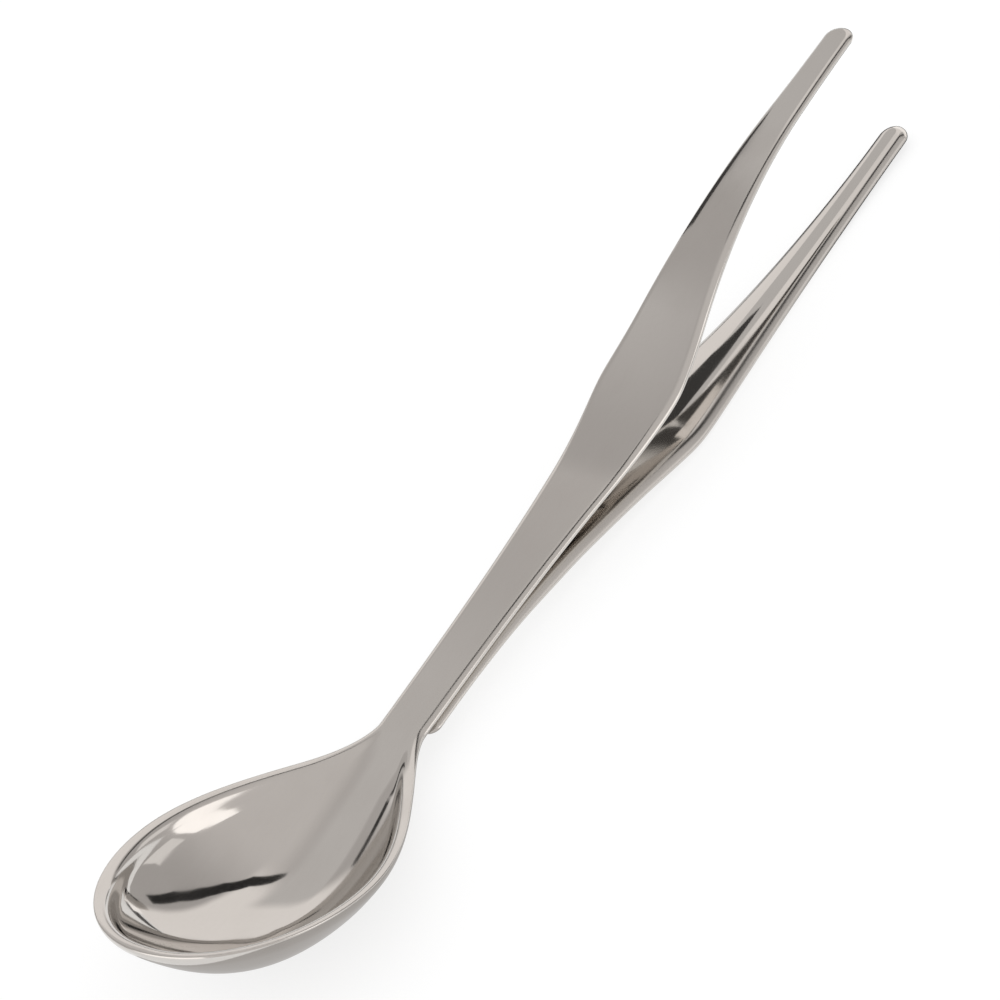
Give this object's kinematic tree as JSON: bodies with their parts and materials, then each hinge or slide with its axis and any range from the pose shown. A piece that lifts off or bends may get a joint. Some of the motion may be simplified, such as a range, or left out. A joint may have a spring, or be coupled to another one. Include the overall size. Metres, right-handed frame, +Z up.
{
  "type": "tasting spoon",
  "caption": "Polished steel tasting spoon with a second sprung arm welded under its neck, so that the handle closes like tweezers for plating small garnishes.",
  "frame": {"origin": "on the surface the spoon lies on, below the centre of its bounding box", "axes": "+X from the bowl towards the tweezer tips, +Y to the left of the handle, +Z up out of the bowl"},
  "size_m": [0.2012, 0.0406, 0.0272],
  "materials": {
    "spoon_steel": "polished",
    "arm_steel": "polished",
    "weld_steel": "as welded"
  },
  "bodies": {
    "spoon": {"spoon": "spoon_steel", "lower_arm_root": "arm_steel", "front_weld": "weld_steel", "rear_weld": "weld_steel"},
    "arm": {"lower_arm": "arm_steel"}
  },
  "joints": [
    {"name": "arm_flex", "type": "hinge", "parent": "spoon", "child": "arm", "pos_m": [-0.00305, 0, 0.0048], "axis": [0, -1, 0], "range_deg": [0, 13.2], "stiffness_Nm_per_rad": 3.7}
  ]
}
